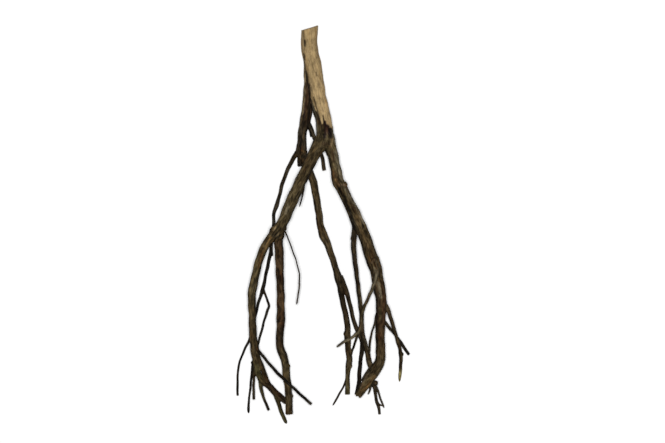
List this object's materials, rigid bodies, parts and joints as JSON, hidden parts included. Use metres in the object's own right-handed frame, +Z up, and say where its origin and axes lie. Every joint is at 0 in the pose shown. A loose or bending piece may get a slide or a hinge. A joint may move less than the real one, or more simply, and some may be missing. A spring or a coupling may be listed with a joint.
{
  "type": "dry root",
  "caption": "Dry branching root with a peeled, slant-cut top, bark-covered legs, cut stubs and thin rootlets, lying as picked up.",
  "frame": {"origin": "on the resting surface, under the middle of the root's bounding box", "axes": "+Y runs along the root towards its cut top, +X across its spread of legs, +Z up from the surface it lies on"},
  "size_m": [0.2616, 0.6002, 0.1075],
  "materials": {
    "root_wood": "dry dark bark with grey weathered streaks, pale peeled wood at the cut top"
  },
  "bodies": {
    "root": {"dry_root": "root_wood"}
  },
  "joints": []
}
